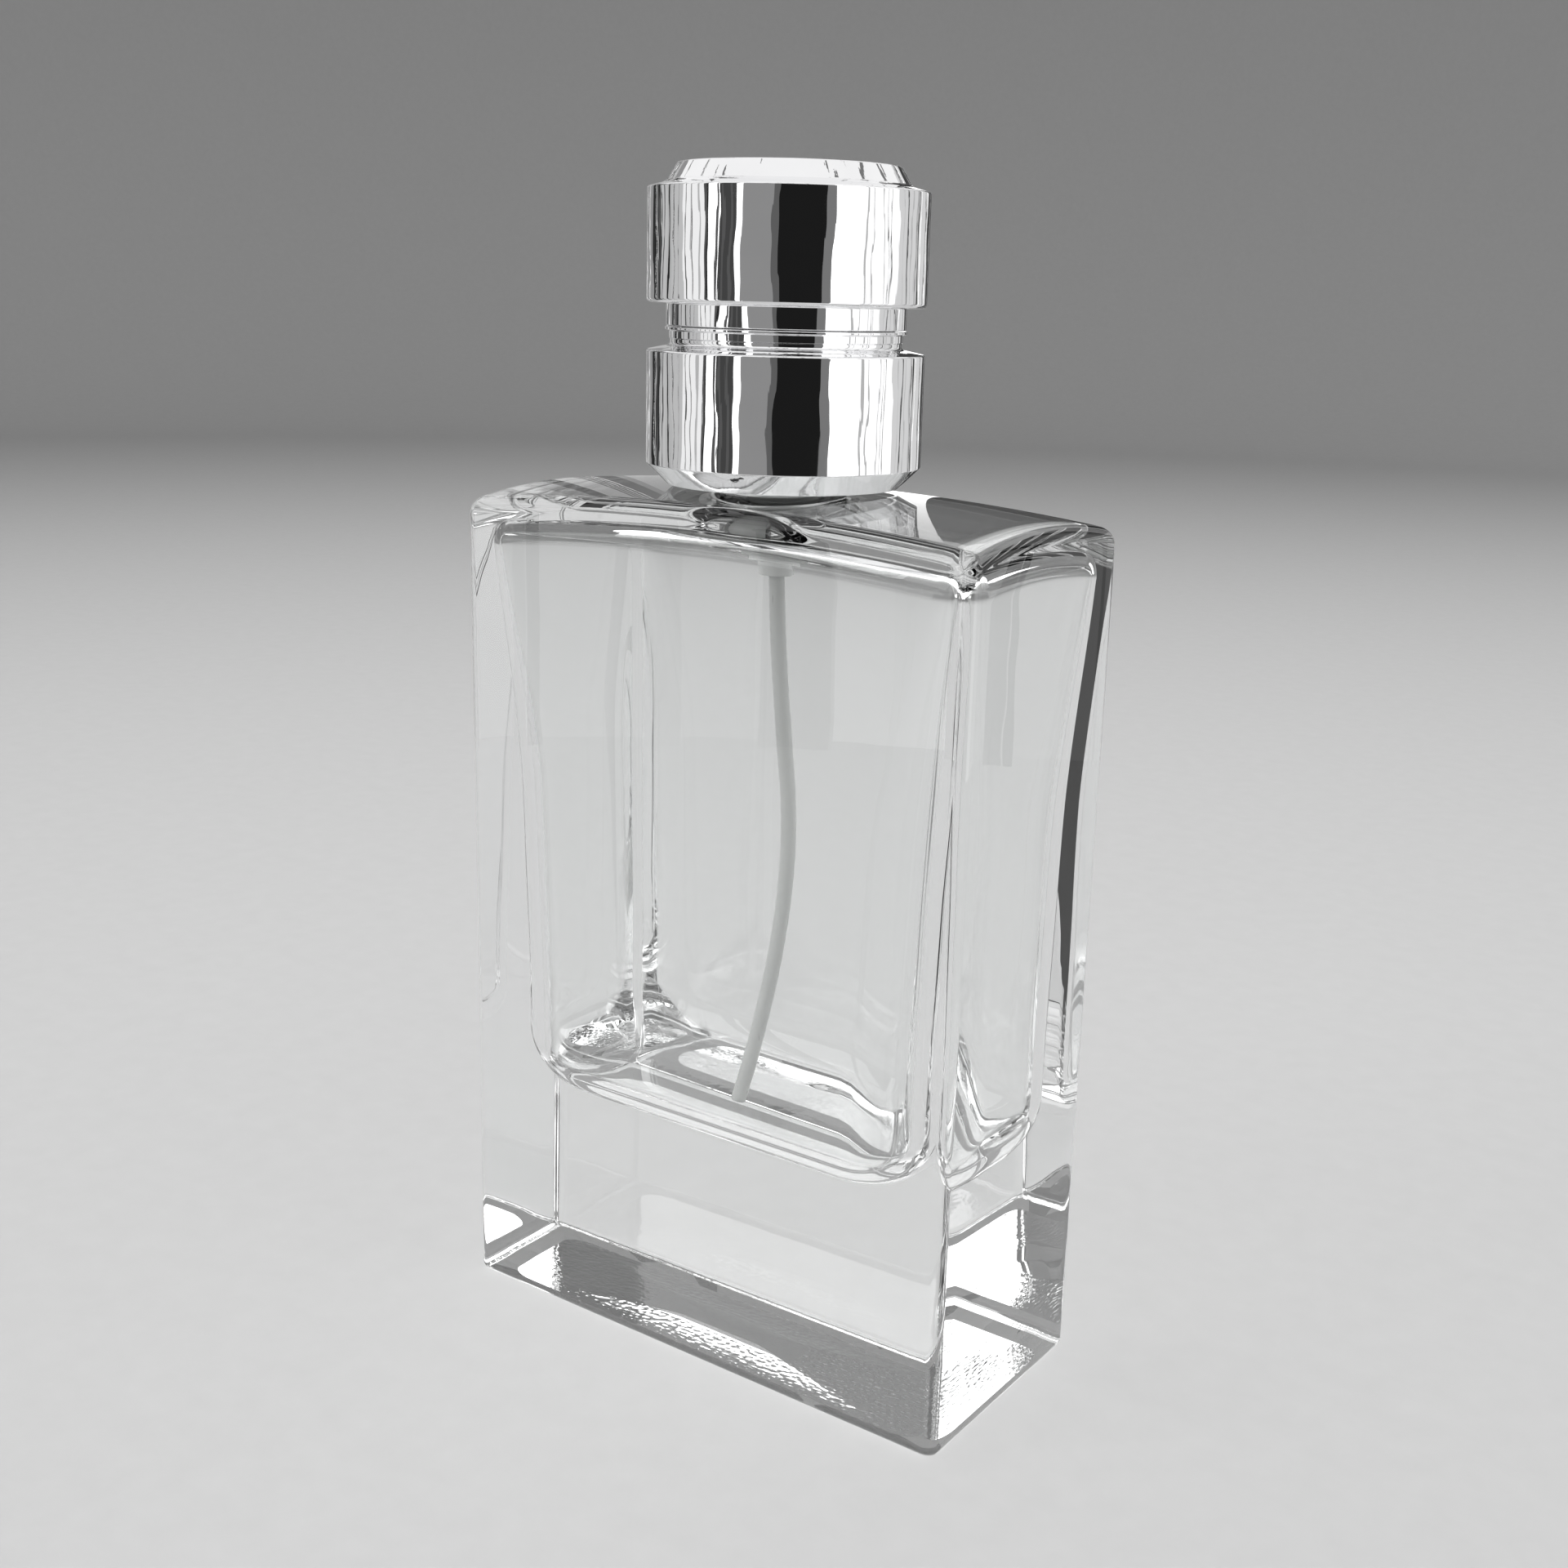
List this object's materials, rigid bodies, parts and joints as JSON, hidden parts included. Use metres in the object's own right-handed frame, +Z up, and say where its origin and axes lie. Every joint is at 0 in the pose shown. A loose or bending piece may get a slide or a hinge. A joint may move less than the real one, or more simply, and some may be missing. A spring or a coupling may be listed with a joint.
{
  "type": "aftershave spray bottle",
  "caption": "Empty rectangular clear-glass spray flacon with a thick base, chromed collar, chromed pull-off cap and a crimped pump with a dip tube.",
  "frame": {"origin": "centre of the bottle's base, on the plane it stands on", "axes": "+Z up along the neck, the pump and the longest side; X along the wide faces; -Y is the front face, where the spray nozzle points"},
  "size_m": [0.062, 0.028, 0.1233],
  "materials": {
    "glass": "clear flint glass, fire polished",
    "bright_chrome": "mirror plated",
    "silver_aluminium": "bright anodised",
    "ferrule_aluminium": "satin drawn sheet",
    "milky_plastic": "translucent natural polypropylene",
    "tube_plastic": "translucent natural polyethylene",
    "white_plastic": "moulded, fine matt",
    "stem_plastic": "moulded acetal",
    "seal_rubber": "soft matt",
    "spring_steel": "drawn stainless wire",
    "ball_steel": "ground and polished"
  },
  "bodies": {
    "root": {"glass_bottle": "glass", "neck_gasket": "seal_rubber", "pump_housing": "milky_plastic", "dip_tube": "tube_plastic", "return_spring": "spring_steel", "stem_seal": "seal_rubber", "turret": "milky_plastic", "crimp_ferrule": "ferrule_aluminium", "collar_shell": "bright_chrome", "collar_liner": "white_plastic"},
    "check_ball": {"check_ball": "ball_steel"},
    "pump_stem": {"stem": "stem_plastic", "poppet": "stem_plastic"},
    "piston": {"piston": "stem_plastic"},
    "actuator": {"actuator_core": "white_plastic", "actuator_sleeve": "silver_aluminium", "nozzle_insert": "stem_plastic"},
    "cap": {"cap_shell": "bright_chrome", "cap_liner": "white_plastic"}
  },
  "joints": [
    {"name": "cap_lift", "type": "slide", "parent": "root", "child": "cap", "axis": [0, 0, 1], "range_m": [0, 0.03]},
    {"name": "actuator_press", "type": "slide", "parent": "root", "child": "pump_stem", "axis": [0, 0, -1], "range_m": [0, 0.0042], "stiffness_N_per_m": 1100, "springref_m": -0.003, "deforming": ["return_spring"]},
    {"name": "actuator_turn", "type": "hinge", "parent": "pump_stem", "child": "actuator", "pos_m": [0, 0, 0.11], "axis": [0, 0, 1], "continuous": true},
    {"name": "piston_travel", "type": "slide", "parent": "root", "child": "piston", "axis": [0, 0, -1], "range_m": [0, 0.0037]},
    {"name": "check_ball_lift", "type": "slide", "parent": "root", "child": "check_ball", "axis": [0, 0, 1], "range_m": [0, 0.0006]}
  ],
  "couplings": [
    {"joint": "piston_travel", "follows": "actuator_press", "ratio": 0.88}
  ]
}
